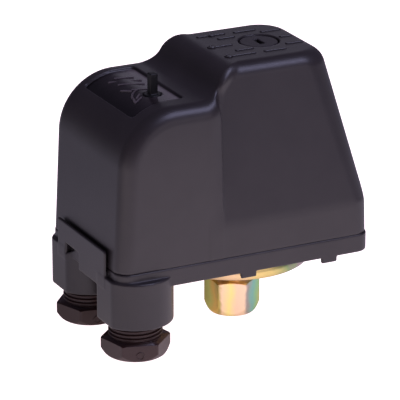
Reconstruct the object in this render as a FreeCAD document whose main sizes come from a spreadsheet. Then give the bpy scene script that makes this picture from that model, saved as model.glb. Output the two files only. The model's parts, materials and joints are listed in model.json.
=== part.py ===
import FreeCAD, Part
import math
import os

import Sketcher
from FreeCAD import Rotation, Vector

# Pressure switch for a pump, in millimetres. Z is up. X runs along the housing: the cable glands are
# at -X and the range spring is under the tall end at +X. The origin is on the axis of the pressure
# port, at the mouth of its swivel nut.

DIMENSIONS = {
    # Base plate and cover
    "base_left": 56.3, "base_right": 39.35, "base_half": 28.3, "base_under": 24.8, "seam": 31.3,
    "base_corner": 5.0, "base_floor": 27.8, "boss_top": 30.5, "boss_radius": 25.2,
    "lip_gap": 2.35, "lip_inner": 3.6, "lip_top": 33.3, "wall": 2.0,
    "low_top": 86.9, "high_top": 97.0, "crease": 17.5, "cover_round": 5.6, "top_round": 4.6,
    "band_top": 45.0, "end_round": 19.5, "rise_run": 15.2, "rise_end": 9.0,
    "waist_right": 39.0, "waist_half": 28.05, "roof_right": 26.8, "side_lean": 7.4,
    "foot_left": 56.5, "end_left": 54.55, "end_height": 66.0,
    "recess_depth": 0.95, "recess_left": 46.2, "recess_right": 27.4, "recess_near": 17.6,
    "recess_far": 20.8,
    # Cable gland towers and the flap between them
    "gland_back": 46.1, "gland_side": 18.3, "tower_radius": 13.0, "tower_flat": 57.7,
    "tower_under": 11.66, "tower_top": 28.4, "gland_bore": 9.35, "gland_shoulder": 25.2,
    "cable_hole": 6.5, "flap_half": 19.0, "flap_top": 37.5, "flap_under": 29.9, "flap_wall": 0.9,
    "web_under": 23.8, "web_end": 2.0, "web_wall": 4.0, "tower_gap": 12.4,
    "gland_flats": 21.0, "gland_hex_under": -0.8, "gland_hex_top": 5.3, "gland_thread": 9.3,
    "gland_core": 8.65, "gland_pitch": 1.41, "gland_nut_bore": 6.2, "gland_nut_top": 17.8,
    "post_along": 26.3, "post_side": 19.5, "earth_along": 47.0, "earth_side": 5.5,
    "tab_left": 10.9, "tab_right": 20.3, "tab_width": 5.8, "tab_wall": 1.3, "tab_under": 22.9,
    # Pressure port
    "nut_flats": 17.0, "nut_top": 12.5, "port_thread": 5.72, "port_depth": 7.5,
    "nipple_neck": 4.5, "nipple_bore": 2.5, "flange_radius": 27.2, "seat_top": 23.6,
    "diaphragm_radius": 26.0, "plunger_radius": 16.0, "plunger_stem": 4.5, "flange_screw_pitch": 16.3,
    # Frame, lever and the two adjusting studs
    "frame_under": 30.5, "frame_steel": 1.5, "pivot_along": 29.0, "pivot_height": 39.4,
    "pivot_pin": 1.5, "beam_under": 36.0, "beam_steel": 2.0, "beam_half": 12.0,
    "range_along": 10.0, "range_stud": 3.0, "range_stud_top": 88.0, "range_coil": 8.0,
    "range_wire": 2.2, "range_cup_under": 66.0, "diff_along": 10.0, "diff_stud": 2.0,
    "diff_stud_top": 70.0, "diff_coil": 4.2, "diff_wire": 1.1, "diff_cup_under": 58.0,
    # Contacts
    "block_back": 44.0, "block_front": 22.5, "block_half": 22.5, "block_under": 44.0,
    "block_top": 50.0, "bar_steel": 1.5, "inner_pole": 5.0, "outer_pole": 13.5,
    "tip_along": 27.0, "tip_radius": 1.8, "tip_height": 0.9, "bridge_steel": 1.0,
    "arm_under": 58.0, "arm_top": 61.0, "terminal_along": 39.0,
    "screw_seat": 47.4, "clamp_under": 53.4,
    # Selector and cover screw
    "selector_along": 33.7, "selector_side": 6.9, "selector_hub": 3.9, "selector_shaft": 3.1,
    "selector_half": 1.4, "selector_top": 93.5,
    "cover_screw_head": 6.6, "cover_screw_shank": 4.4, "well_radius": 7.1, "well_wall": 2.1,
    "well_depth": 6.0, "well_floor": 3.0,
}

doc = FreeCAD.newDocument("pressure_switch")
sheet = doc.addObject("Spreadsheet::Sheet", "dims")


class Size:
    """A length together with the sheet expression that gives it."""

    def __init__(self, value, text):
        self.value = float(value)
        self.text = text

    def _with(self, other, sign, value, swap=False):
        text = other.text if isinstance(other, Size) else repr(float(other))
        pair = (text, self.text) if swap else (self.text, text)
        return Size(value, "(%s %s %s)" % (pair[0], sign, pair[1]))

    def __add__(self, other):
        return self._with(other, "+", self.value + number(other))

    def __radd__(self, other):
        return self._with(other, "+", number(other) + self.value, swap=True)

    def __sub__(self, other):
        return self._with(other, "-", self.value - number(other))

    def __rsub__(self, other):
        return self._with(other, "-", number(other) - self.value, swap=True)

    def __mul__(self, other):
        return self._with(other, "*", self.value * number(other))

    __rmul__ = __mul__

    def __truediv__(self, other):
        return self._with(other, "/", self.value / number(other))

    def __neg__(self):
        return Size(-self.value, "(0 - %s)" % self.text)


def number(size):
    return size.value if isinstance(size, Size) else float(size)


class Dimensions:
    """The sheet's cells by name."""


for row, (alias, value) in enumerate(DIMENSIONS.items(), start=1):
    sheet.set("A%d" % row, alias)
    sheet.set("B%d" % row, repr(value))
    sheet.setAlias("B%d" % row, alias)
    setattr(Dimensions, alias, Size(value, "dims." + alias))
doc.recompute()
D = Dimensions

subparts = []


def named(thing, label):
    """Marks an object as a finished sub-part with its own name."""
    thing.Label = label
    subparts.append(thing)
    return thing


def bind(thing, prop, size):
    """Gives a property its size, bound to the sheet where the size comes from it."""
    if isinstance(size, Size):
        thing.setExpression(prop, size.text)
    else:
        setattr(thing, prop, float(size))


def put(thing, place, turn=None):
    """Places an object at a point, turned by (axis, degrees)."""
    base = Vector(*[number(step) for step in place])
    spin = Rotation(Vector(*turn[0]), turn[1]) if turn else Rotation()
    thing.Placement = FreeCAD.Placement(base, spin)
    for letter, step in zip("xyz", place):
        if isinstance(step, Size):
            thing.setExpression("Placement.Base." + letter, step.text)
    return thing


def block(low, high, name="block"):
    """A box between two corners."""
    thing = doc.addObject("Part::Box", name)
    for prop, start, end in zip(("Length", "Width", "Height"), low, high):
        size = end - start
        bind(thing, prop, size)
    return put(thing, low)


def rod(place, radius, height, turn=None, name="rod"):
    thing = doc.addObject("Part::Cylinder", name)
    bind(thing, "Radius", radius)
    bind(thing, "Height", height)
    return put(thing, place, turn)


def hexagon(place, flats, height, turn=0.0, name="hexagon"):
    """A hexagonal prism, sized across its flats, with a corner at turn degrees from +X."""
    thing = doc.addObject("Part::Prism", name)
    thing.Polygon = 6
    bind(thing, "Circumradius", flats / math.sqrt(3.0))
    bind(thing, "Height", height)
    return put(thing, place, ((0, 0, 1), turn))


def fused(parts, name="joined"):
    thing = doc.addObject("Part::MultiFuse", name)
    thing.Shapes = parts
    thing.Refine = True
    return thing


def common(parts, name="shared"):
    thing = doc.addObject("Part::MultiCommon", name)
    thing.Shapes = parts
    return thing


def cut(solid, tools, name="trimmed"):
    thing = doc.addObject("Part::Cut", name)
    thing.Base = solid
    thing.Tool = tools[0] if len(tools) == 1 else fused(tools)
    return thing


def group(parts, name="set"):
    """Separate solids kept together as one sub-part."""
    thing = doc.addObject("Part::Compound", name)
    thing.Links = parts
    return thing


def rounded(solid, radius, wanted, name="rounded"):
    """Fillets the edges that wanted(edge) picks."""
    doc.recompute()
    thing = doc.addObject("Part::Fillet", name)
    thing.Base = solid
    picked = [i for i, edge in enumerate(solid.Shape.Edges, start=1) if wanted(edge)]
    thing.Edges = [(i, number(radius), number(radius)) for i in picked]
    return thing


def upright(edge):
    ends = edge.Vertexes
    return len(ends) == 2 and (ends[0].Point - ends[1].Point).cross(Vector(0, 0, 1)).Length < 1e-6


def sketch_on(body, role, name):
    plane = [feature for feature in body.Origin.OriginFeatures if feature.Role == role][0]
    sketch = body.newObject("Sketcher::SketchObject", name)
    sketch.AttachmentSupport = (plane, [""])
    sketch.MapMode = "FlatFace"
    return sketch


def pin_point(sketch, index, end, point):
    """Fixes one point of the sketch to its two sizes."""
    for kind, size in zip(("DistanceX", "DistanceY"), point):
        made = sketch.addConstraint(Sketcher.Constraint(kind, -1, 1, index, end, number(size)))
        if isinstance(size, Size):
            sketch.setExpression("Constraints[%d]" % made, size.text)


def draw_outline(sketch, points):
    """A closed outline of straight lines, fixed at every corner."""
    first = sketch.GeometryCount
    count = len(points)
    flat = [Vector(number(a), number(b), 0) for a, b in points]
    for i in range(count):
        sketch.addGeometry(Part.LineSegment(flat[i], flat[(i + 1) % count]), False)
    for i in range(count):
        after = first + (i + 1) % count
        sketch.addConstraint(Sketcher.Constraint("Coincident", first + i, 2, after, 1))
    for i, point in enumerate(points):
        pin_point(sketch, first + i, 1, point)


def draw_circle(sketch, centre, radius):
    spot = Vector(number(centre[0]), number(centre[1]), 0)
    index = sketch.addGeometry(Part.Circle(spot, Vector(0, 0, 1), number(radius)), False)
    pin_point(sketch, index, 3, centre)
    made = sketch.addConstraint(Sketcher.Constraint("Radius", index, number(radius)))
    if isinstance(radius, Size):
        sketch.setExpression("Constraints[%d]" % made, radius.text)


def turned(profile, place=(0, 0, 0), name="turned"):
    """A piece turned about Z from its (radius, height) profile."""
    body = doc.addObject("PartDesign::Body", name)
    sketch = sketch_on(body, "XZ_Plane", name + "_profile")
    draw_outline(sketch, profile)
    doc.recompute()
    solid = body.newObject("PartDesign::Revolution", name + "_turn")
    solid.Profile = sketch
    solid.ReferenceAxis = (sketch, ["V_Axis"])
    solid.Angle = 360.0
    return put(body, place)


def plate(outline, holes, under, thickness, name="plate"):
    """A flat plate from its (x, y) outline with round holes (x, y, radius)."""
    body = doc.addObject("PartDesign::Body", name)
    sketch = sketch_on(body, "XY_Plane", name + "_outline")
    draw_outline(sketch, outline)
    for along, across, radius in holes:
        draw_circle(sketch, (along, across), radius)
    doc.recompute()
    solid = body.newObject("PartDesign::Pad", name + "_pad")
    solid.Profile = sketch
    bind(solid, "Length", thickness)
    return put(body, (0, 0, under))


def rectangle(left, right, near, far):
    return [(left, near), (right, near), (right, far), (left, far)]


def ring(place, inner, outer, height, name="ring"):
    return turned([(inner, 0), (outer, 0), (outer, height), (inner, height)], place, name)


def spring(place, coil, wire, height, turns, name="spring"):
    """A coil spring with ground ends: a swept helix trimmed to its height."""
    ground = wire * 0.35
    helix = doc.addObject("Part::Helix", name + "_helix")
    bind(helix, "Radius", coil)
    bind(helix, "Pitch", height / turns)
    bind(helix, "Height", height + ground * 2.0)
    section = doc.addObject("Part::Circle", name + "_wire")
    bind(section, "Radius", wire / 2.0)
    put(section, (coil, 0, 0), ((1, 0, 0), 90.0))
    sweep = doc.addObject("Part::Sweep", name + "_sweep")
    sweep.Sections = [section]
    sweep.Spine = (helix, ["Edge1"])
    sweep.Solid = True
    sweep.Frenet = True
    ends = rod((0, 0, ground), coil + wire, height)
    x, y, z = place
    return put(common([sweep, ends], name), (x, y, z - ground))


def slotted(head_top, radius, width, depth, place):
    """The cutter for a straight screwdriver slot across a head."""
    x, y = place
    low = (x - width / 2.0, y - radius * 1.1, head_top - depth)
    return block(low, (x + width / 2.0, y + radius * 1.1, head_top + 1.0))


def cheese_screw(place, head_radius, head_height, shank_radius, shank_length, name="screw"):
    """A slotted screw whose head rests at place and whose shank points down."""
    x, y, seat = place
    profile = [(0, -shank_length), (shank_radius - 0.3, -shank_length),
               (shank_radius, 0.4 - shank_length), (shank_radius, 0), (head_radius, 0),
               (head_radius, head_height - 0.4), (head_radius - 0.4, head_height), (0, head_height)]
    solid = turned(profile, place, name)
    slot = slotted(seat + head_height, head_radius, 0.8, head_height * 0.45, (x, y))
    return cut(solid, [slot])


MIRRORED = (-1, 1)


# The side view of the cover, as a closed outline in the XZ plane

def crossing(first, second):
    """Where two lines, each a point and a direction in the XZ plane, meet."""
    (p, along), (q, other) = first, second
    gap = q - p
    reach = (gap.x * other.z - gap.z * other.x) / (along.x * other.z - along.z * other.x)
    return p + along * reach


def inset_line(start, end, inset):
    """The line from start to end moved to its right-hand side, as a point and a direction."""
    along = (end - start).normalize()
    return start + Vector(along.z, 0, -along.x) * inset, along


def cover_outline(inset):
    """The cover's side outline, moved inwards by inset and left open downwards."""
    low = D.low_top.value
    high = D.high_top.value
    foot = D.seam.value - 4.0
    band = D.band_top.value
    waist = D.waist_right.value
    roof = D.roof_right.value
    left = inset_line(Vector(-D.foot_left.value, 0, foot),
                      Vector(-D.end_left.value, 0, D.end_height.value), inset)
    low_line = inset_line(Vector(-50.0, 0, low), Vector(-30.0, 0, low), inset)
    high_line = inset_line(Vector(0, 0, high), Vector(10.0, 0, high), inset)
    slope = inset_line(Vector(roof, 0, high), Vector(waist, 0, band), inset)
    right = inset_line(Vector(waist, 0, band), Vector(D.base_right.value, 0, foot), inset)
    ground = (Vector(0, 0, foot), Vector(1, 0, 0))
    corner = crossing(left, low_line)
    radius = D.end_round.value - inset
    turn = left[1].getAngle(low_line[1])
    reach = radius * math.tan(turn / 2.0)
    arc_start = corner - left[1] * reach
    arc_end = corner + low_line[1] * reach
    centre = arc_end - Vector(0, 0, radius)
    arc_mid = centre + (corner - centre).normalize() * radius
    rise = high - low
    run = D.rise_run.value
    bend = 2.0 * math.atan2(rise, run)
    sweep = run / (2.0 * math.sin(bend))
    hollow = Vector(-D.rise_end.value - run, 0, low + sweep)
    crest = Vector(-D.rise_end.value, 0, high - sweep)

    def on_hollow(angle):
        return hollow + Vector(math.sin(angle), 0, -math.cos(angle)) * (sweep + inset)

    def on_crest(angle):
        return crest + Vector(-math.sin(angle), 0, math.cos(angle)) * (sweep - inset)

    left_foot = crossing(left, ground)
    roof_end = crossing(high_line, slope)
    slope_end = crossing(slope, right)
    right_foot = crossing(right, ground)
    return Part.Wire([
        Part.LineSegment(left_foot, arc_start).toShape(),
        Part.Arc(arc_start, arc_mid, arc_end).toShape(),
        Part.LineSegment(arc_end, on_hollow(0.0)).toShape(),
        Part.Arc(on_hollow(0.0), on_hollow(bend / 2.0), on_hollow(bend)).toShape(),
        Part.Arc(on_crest(bend), on_crest(bend / 2.0), on_crest(0.0)).toShape(),
        Part.LineSegment(on_crest(0.0), roof_end).toShape(),
        Part.LineSegment(roof_end, slope_end).toShape(),
        Part.LineSegment(slope_end, right_foot).toShape(),
        Part.LineSegment(right_foot, left_foot).toShape(),
    ])


def outline_prism(inset):
    """The side outline pushed through the whole width of the cover."""
    face = Part.Face(cover_outline(inset))
    face.translate(Vector(0, -45, 0))
    return face.extrude(Vector(0, 90, 0))


def rounded_rectangle(left, right, half, corner, height):
    """A rectangle with square corners at its left end and round ones at its right end."""
    a = Vector(left, -half, height)
    b = Vector(right - corner, -half, height)
    c = Vector(right, corner - half, height)
    d = Vector(right, half - corner, height)
    e = Vector(right - corner, half, height)
    f = Vector(left, half, height)
    bend = corner * (1.0 - math.sqrt(0.5))
    near = Vector(right - bend, bend - half, height)
    far = Vector(right - bend, half - bend, height)
    return Part.Wire([
        Part.LineSegment(a, b).toShape(), Part.Arc(b, near, c).toShape(),
        Part.LineSegment(c, d).toShape(), Part.Arc(d, far, e).toShape(),
        Part.LineSegment(e, f).toShape(), Part.LineSegment(f, a).toShape(),
    ])


def near_height(edge, low, high):
    box = edge.BoundBox
    return box.ZMin > low and box.ZMax < high


def follows_outline(edge, half, split, foot):
    """True for the edges along the side outline, left of the crease and above the foot."""
    box = edge.BoundBox
    on_side = box.YLength < 1e-3 and abs(abs(box.YMax) - half) < 1e-3
    at_crease = box.XLength < 1e-3 and abs(box.XMax - split) < 1e-3
    return on_side and not at_crease and box.ZMax > foot + 1.0


def cover_solid(inset):
    """The cover's filled shape, moved inwards by inset."""
    prism = outline_prism(inset)
    foot = D.seam.value - (3.0 if inset else 0.0)
    half = D.base_half.value - inset
    split = -D.crease.value - inset
    top = D.high_top.value + 3.0
    low_box = Part.makeBox(60.0, 2 * half, top - foot, Vector(split - 60.0, -half, foot))
    low_part = prism.common(low_box)
    side_edges = [edge for edge in low_part.Edges if follows_outline(edge, half, split, foot)]
    low_part = low_part.makeFillet(D.cover_round.value - inset * 0.9, side_edges)
    band = D.band_top.value
    lean = math.tan(math.radians(D.side_lean.value))
    rise = top - band
    slope = (D.waist_right.value - D.roof_right.value) / (D.high_top.value - band)
    right = D.waist_right.value - inset
    side = D.waist_half.value - inset
    waist = rounded_rectangle(split, right, side, 6.5 - inset, band)
    crown = rounded_rectangle(split, right - rise * slope, side - rise * lean, 11.0 - inset, top)
    skirt = rounded_rectangle(split, D.base_right.value - inset, half, 6.0 - inset, foot)
    upper = Part.makeLoft([waist, crown], True, True)
    lower = Part.makeLoft([skirt, waist], True, True)
    high_part = upper.fuse(lower).removeSplitter().common(prism)
    roof_edges = [edge for edge in high_part.Edges
                  if near_height(edge, 84.0, top) and edge.BoundBox.XMax > split + 1.0
                  and edge.BoundBox.YLength < 2 * half and not straight_across(edge)]
    high_part = high_part.makeFillet(D.top_round.value - inset * 0.8, roof_edges)
    return low_part.fuse(high_part).removeSplitter()


def straight_across(edge):
    """True for the lines that cross the roof where its outline changes curve."""
    box = edge.BoundBox
    return box.YLength > 8.0 and box.XLength < 1e-6 and box.XMax < 20.0


def make_cover():
    outer = cover_solid(0.0)
    shell = outer.cut(cover_solid(D.wall.value))
    recess = Part.makeBox(D.recess_left.value - D.recess_right.value,
                          D.recess_near.value + D.recess_far.value, 30.0,
                          Vector(-D.recess_left.value, -D.recess_near.value, 66.0))
    recess = recess.makeFillet(1.2, [edge for edge in recess.Edges if upright(edge)])
    shell = shell.cut(recess.cut(outline_prism(D.recess_depth.value)))
    x = D.range_along.value
    top = D.high_top.value
    radius = D.well_radius.value
    seat = top - D.well_depth.value
    height = D.well_depth.value + D.well_floor.value
    pocket = Part.makeCylinder(radius, D.well_depth.value + 1.0, Vector(x, 0, seat))
    well = Part.makeCylinder(radius + D.well_wall.value, height, Vector(x, 0, top - height))
    shell = shell.cut(pocket).fuse(well.cut(pocket).common(outer))
    hole = D.cover_screw_shank.value + 0.1
    shell = shell.cut(Part.makeCylinder(hole, 20.0, Vector(x, 0, seat - height)))
    shaft = Part.makeCylinder(D.selector_shaft.value + 0.1, 20.0,
                              Vector(-D.selector_along.value, -D.selector_side.value, 75.0))
    return shell.cut(shaft).removeSplitter()


cover = doc.addObject("Part::Feature", "cover_shell")
cover.Shape = make_cover()
cover.Placement = FreeCAD.Placement()
named(cover, "cover")


# Base plate with its gland towers

def make_base():
    slab = block((-D.base_left, -D.base_half, D.base_under), (D.base_right, D.base_half, D.seam))
    slab = rounded(slab, D.base_corner, upright)
    lip = block((D.lip_gap - D.base_left, D.lip_gap - D.base_half, D.base_under),
                (D.base_right - D.lip_gap, D.base_half - D.lip_gap, D.lip_top))
    lip = rounded(lip, D.base_corner, upright)
    tray = block((D.lip_inner - D.base_left, D.lip_inner - D.base_half, D.base_floor),
                 (D.base_right - D.lip_inner, D.base_half - D.lip_inner, D.lip_top + 1.0))
    tray = rounded(tray, D.base_corner - D.lip_inner + D.lip_gap, upright)
    flap = block((-D.tower_flat, -D.flap_half, D.flap_under),
                 (D.flap_wall - D.tower_flat, D.flap_half, D.flap_top))
    web = block((-D.tower_flat, -D.tower_gap, D.web_under),
                (D.flap_wall - D.tower_flat, D.web_end, D.flap_under))
    web_foot = block((-D.tower_flat, -D.tower_gap, D.web_under),
                     (D.web_wall - D.tower_flat, D.web_end, D.base_floor))
    solids = [slab, lip, flap, web, web_foot]
    holes = []
    for side in MIRRORED:
        y = D.gland_side * side
        tower = rod((-D.gland_back, y, D.tower_under), D.tower_radius, D.tower_top - D.tower_under)
        front = block((-D.tower_flat, y - D.tower_radius, D.tower_under),
                      (-D.gland_back + D.tower_radius + 1.0, y + D.tower_radius, D.tower_top))
        solids.append(common([tower, front]))
        near, far = sorted((D.tower_gap * side, D.flap_half * side), key=lambda size: size.value)
        solids.append(block((-D.tower_flat, near, D.web_under),
                            (D.flap_wall - D.tower_flat, far, D.flap_under)))
        bore_height = D.gland_shoulder - D.tower_under + 1.0
        holes.append(rod((-D.gland_back, y, D.tower_under - 1.0), D.gland_bore, bore_height))
        holes.append(rod((-D.gland_back, y, D.gland_shoulder - 1.0), D.cable_hole, 6.0))
        holes.append(rod((-D.post_along, D.post_side * side, D.base_floor - 2.2), 1.5, 4.0))
        holes.append(rod((-D.earth_along, D.earth_side * side, D.base_floor - 1.6), 1.9, 4.0))
        for start in (-D.tab_left, D.tab_right):
            edge = D.base_half * side
            inner = (D.base_half - D.tab_wall) * side
            near, far = sorted((edge, inner), key=lambda size: size.value)
            solids.append(block((start, near, D.tab_under),
                                (start + D.tab_width, far, D.base_under + 1.0)))
        for end in MIRRORED:
            spot = (D.flange_screw_pitch * end, D.flange_screw_pitch * side, 20.0)
            holes.append(rod(spot, 2.1, 14.0))
    holes.append(rod((0, 0, D.base_under - 1.0), D.plunger_radius + 1.0, 4.7))
    holes.append(rod((0, 0, D.base_under), D.plunger_stem + 0.2, 8.0))
    boss = rod((0, 0, D.base_floor - 1.0), D.boss_radius, D.boss_top - D.base_floor + 1.0)
    return cut(fused([cut(fused(solids), [tray]), boss]), holes)


named(make_base(), "base")


# Pressure port, flange, diaphragm and plunger

def make_swivel_nut():
    half_flats = D.nut_flats / 2.0
    prism = hexagon((0, 0, 0), D.nut_flats, D.nut_top, 33.3)
    corner = D.nut_flats / math.sqrt(3.0)
    blank = turned([(0, 0), (half_flats - 1.2, 0), (half_flats - 0.1, 1.0), (corner - 0.25, 3.2),
                    (corner + 0.1, 4.6), (corner + 0.1, D.nut_top - 0.9),
                    (half_flats + 0.1, D.nut_top), (0, D.nut_top)], name="nut_blank")
    relief = D.port_depth + 3.0
    bore = turned([(0, -1.0), (D.port_thread, -1.0), (D.port_thread, D.port_depth),
                   (5.9, D.port_depth), (5.9, relief), (D.nipple_neck + 0.15, relief),
                   (D.nipple_neck + 0.15, D.nut_top + 1.0), (0, D.nut_top + 1.0)], name="nut_bore")
    return cut(common([prism, blank]), [bore])


named(make_swivel_nut(), "swivel_nut")
named(ring((0, 0, D.port_depth + 0.1), D.nipple_bore, 5.5, 0.9, "port_gasket_ring"), "port_gasket")

collar_under = D.port_depth + 1.0
neck_top = D.seat_top - 2.6
named(turned([(D.nipple_bore, collar_under), (5.6, collar_under), (5.6, collar_under + 1.4),
              (5.2, collar_under + 1.8), (D.nipple_neck, collar_under + 1.8),
              (D.nipple_neck, neck_top), (D.nipple_bore, neck_top)], name="nipple_turned"),
      "port_nipple")

rim = D.flange_radius


def make_flange():
    dish = turned([(D.nipple_neck, 17.2), (8.4, 17.2), (9.4, 18.0), (13.5, 19.3), (rim - 3.2, 20.1),
                   (rim - 1.2, 20.6), (rim - 0.3, 21.2), (rim, 21.9), (rim, D.base_under),
                   (rim - 0.9, D.base_under), (rim - 0.9, D.seat_top), (20.0, D.seat_top),
                   (18.5, D.seat_top - 1.2), (7.0, D.seat_top - 2.2), (6.4, neck_top),
                   (D.nipple_neck, neck_top)], name="flange_turned")
    taps = [rod((D.flange_screw_pitch * a, D.flange_screw_pitch * b, 21.4), 2.0, 6.0)
            for a in MIRRORED for b in MIRRORED]
    return cut(dish, taps)


named(make_flange(), "flange_dish")


def screw_holes(radius):
    return [rod((D.flange_screw_pitch * a, D.flange_screw_pitch * b, 15.0), radius, 25.0)
            for a in MIRRORED for b in MIRRORED]


sheet_rubber = turned([(0, D.seat_top), (D.diaphragm_radius, D.seat_top),
                       (D.diaphragm_radius, D.base_under), (0, D.base_under)], name="rubber_disc")
named(cut(sheet_rubber, screw_holes(2.1)), "diaphragm")

stem_top = D.beam_under - 0.25
named(turned([(0, D.base_under + 0.1), (D.plunger_radius - 0.6, D.base_under + 0.1),
              (D.plunger_radius, D.base_under + 0.6), (D.plunger_radius, D.base_under + 1.6),
              (D.plunger_stem + 1.5, D.base_under + 1.6), (D.plunger_stem, D.base_under + 2.2),
              (D.plunger_stem, stem_top - 1.4), (2.0, stem_top), (0, stem_top)],
             name="plunger_turned"), "pressure_plunger")

frame_top = D.frame_under + D.frame_steel
named(group([cheese_screw((D.flange_screw_pitch * a, D.flange_screw_pitch * b, frame_top),
                          3.7, 2.4, 2.0, 10.4, "flange_screw")
             for a in MIRRORED for b in MIRRORED]), "flange_screws")


# Frame, lever and adjusting studs

def make_frame():
    holes = [(D.flange_screw_pitch * a, D.flange_screw_pitch * b, 2.1)
             for a in MIRRORED for b in MIRRORED]
    holes += [(0, 0, D.plunger_stem + 0.4), (D.range_along, 0, 2.5), (-D.diff_along, 0, 1.6)]
    foot = plate(rectangle(-20.0, D.pivot_along + 5.5, -20.0, 20.0), holes, D.frame_under,
                 D.frame_steel, "frame_foot")
    ears = []
    for side in MIRRORED:
        inner = (D.beam_half + 1.0) * side
        outer = (D.beam_half + 2.6) * side
        near, far = (outer, inner) if side < 0 else (inner, outer)
        ear = block((D.pivot_along - 5.0, near, D.frame_under), (D.pivot_along + 5.0, far, 43.4))
        ears.append(rounded(ear, 3.6, lambda edge: edge.BoundBox.ZMin > 43.0
                            and edge.BoundBox.YLength > 1.0))
    solid = fused([foot] + ears)
    bore = rod((D.pivot_along, -20.0, D.pivot_height), D.pivot_pin, 40.0, ((1, 0, 0), -90.0))
    return cut(solid, [bore])


named(make_frame(), "frame_bracket")


def make_beam():
    holes = [(D.range_along, 0, D.range_stud + 0.9), (-D.diff_along, 0, D.diff_stud + 0.8)]
    web = plate([(-22.0, -7.0), (-14.0, -D.beam_half), (D.pivot_along - 3.0, -D.beam_half),
                 (D.pivot_along - 3.0, D.beam_half), (-14.0, D.beam_half), (-22.0, 7.0)],
                holes, D.beam_under, D.beam_steel, "beam_web")
    solids = [web]
    for side in MIRRORED:
        inner = (D.beam_half - 1.6) * side
        outer = D.beam_half * side
        near, far = (outer, inner) if side < 0 else (inner, outer)
        ear = block((D.pivot_along - 7.0, near, D.beam_under), (D.pivot_along + 3.4, far, 42.8))
        solids.append(rounded(ear, 3.0, lambda edge: edge.BoundBox.ZMin > 42.0
                              and edge.BoundBox.YLength > 1.0))
    bore = rod((D.pivot_along, -20.0, D.pivot_height), D.pivot_pin + 0.05, 40.0, ((1, 0, 0), -90.0))
    return cut(fused(solids), [bore])


named(make_beam(), "beam")
pin_half = D.beam_half + 4.2
named(rod((D.pivot_along, -pin_half, D.pivot_height), D.pivot_pin, pin_half * 2.0,
          ((1, 0, 0), -90.0)), "pivot_pin")


def make_clips():
    clips = []
    for side in MIRRORED:
        start = D.beam_half + 2.65
        y = start if side > 0 else -(start + 0.8)
        disc = rod((D.pivot_along, y, D.pivot_height), 3.1, 0.8, ((1, 0, 0), -90.0))
        eye = rod((D.pivot_along, y - 0.5, D.pivot_height), D.pivot_pin, 2.0, ((1, 0, 0), -90.0))
        mouth = block((D.pivot_along - 0.9, y - 0.5, D.pivot_height - 4.0),
                      (D.pivot_along + 0.9, y + 1.5, D.pivot_height))
        clips.append(cut(disc, [eye, mouth]))
    return group(clips)


named(make_clips(), "pivot_clips")

seat = D.beam_under + D.beam_steel


def stud(radius, foot_radius, collar, top, place, name):
    """A riveted stud with a collar on the frame and a thread for its adjusting nut."""
    above = D.frame_steel
    return turned([(0, 0), (foot_radius, 0), (foot_radius, above), (collar, above),
                   (collar, above + 2.0), (radius, above + 2.4), (radius, top - place[2] - 0.6),
                   (radius - 0.6, top - place[2]), (0, top - place[2])], place, name)


range_place = (D.range_along, 0, D.frame_under)
diff_place = (-D.diff_along, 0, D.frame_under)
named(stud(D.range_stud, 2.5, 4.2, D.range_stud_top, range_place, "range_stud_turned"),
      "range_stud")
named(stud(D.diff_stud, 1.6, 3.2, D.diff_stud_top, diff_place, "diff_stud_turned"), "diff_stud")


def spring_set(x, stud_radius, coil, wire, cup_under, flats, nut_height, turns, name):
    """Lower seat, coil spring, upper cup and hexagonal adjusting nut on one stud."""
    outer = coil + wire / 2.0
    lower = ring((x, 0, seat), stud_radius + 0.9, outer + 0.5, 1.0, name + "_seat_ring")
    named(lower, name + "_seat")
    coil_under = seat + 1.0
    named(spring((x, 0, coil_under), coil, wire, cup_under - coil_under, turns, name + "_coil"),
          name + "_spring")
    cup = turned([(stud_radius + 0.05, 0), (stud_radius + 0.05, 1.6), (outer + 0.9, 1.6),
                  (outer + 0.9, -2.2), (outer + 0.15, -2.2), (outer + 0.15, 0)],
                 (x, 0, cup_under), name + "_cup_turned")
    named(cup, name + "_cup")
    nut = hexagon((x, 0, cup_under + 1.65), flats, nut_height, 30.0)
    dome = turned([(0, 0), (flats * 0.56, 0), (flats * 0.578, 0.5), (flats * 0.578, nut_height - 0.5),
                   (flats * 0.54, nut_height), (0, nut_height)], (x, 0, cup_under + 1.65),
                  name + "_nut_blank")
    tap = rod((x, 0, cup_under), stud_radius + 0.03, 12.0)
    named(cut(common([nut, dome]), [tap]), name + "_nut")


spring_set(D.range_along, D.range_stud, D.range_coil, D.range_wire, D.range_cup_under, 10.0, 5.0,
           5.5, "range")
spring_set(-D.diff_along, D.diff_stud, D.diff_coil, D.diff_wire, D.diff_cup_under, 7.0, 3.2,
           8.5, "diff")


# Contact block, terminals, contacts and carrier

POLES = [(D.outer_pole, -1), (D.inner_pole, -1), (D.inner_pole, 1), (D.outer_pole, 1)]
bridge_side = (D.inner_pole + D.outer_pole) / 2.0


def make_contact_block():
    body = block((-D.block_back, -D.block_half, D.block_under),
                 (-D.block_front, D.block_half, D.block_top))
    solids = [body]
    holes = []
    for side in MIRRORED:
        near, far = sorted((16.5 * side, D.block_half.value * side))
        solids.append(block((-30.0, near, D.base_floor), (-D.block_front, far, D.block_under + 1.0)))
        near, far = sorted((7.3 * side, 9.0 * side))
        solids.append(block((-D.block_front - 1.0, near, D.block_under),
                            (-19.0, far, D.block_top)))
        holes.append(rod((-D.post_along, D.post_side * side, 20.0), 1.6, 40.0))
        holes.append(rod((-D.post_along, D.post_side * side, D.screw_seat), 2.9, 10.0))
    for wall in (-bridge_side, Size(0, "0"), bridge_side):
        solids.append(block((-D.block_back, wall - 0.6, D.block_top - 1.0),
                            (-33.5, wall + 0.6, 57.0)))
    for pole, side in POLES:
        holes.append(rod((-D.terminal_along, pole * side, 45.4), 1.9, 10.0))
    return cut(fused(solids), holes)


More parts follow.
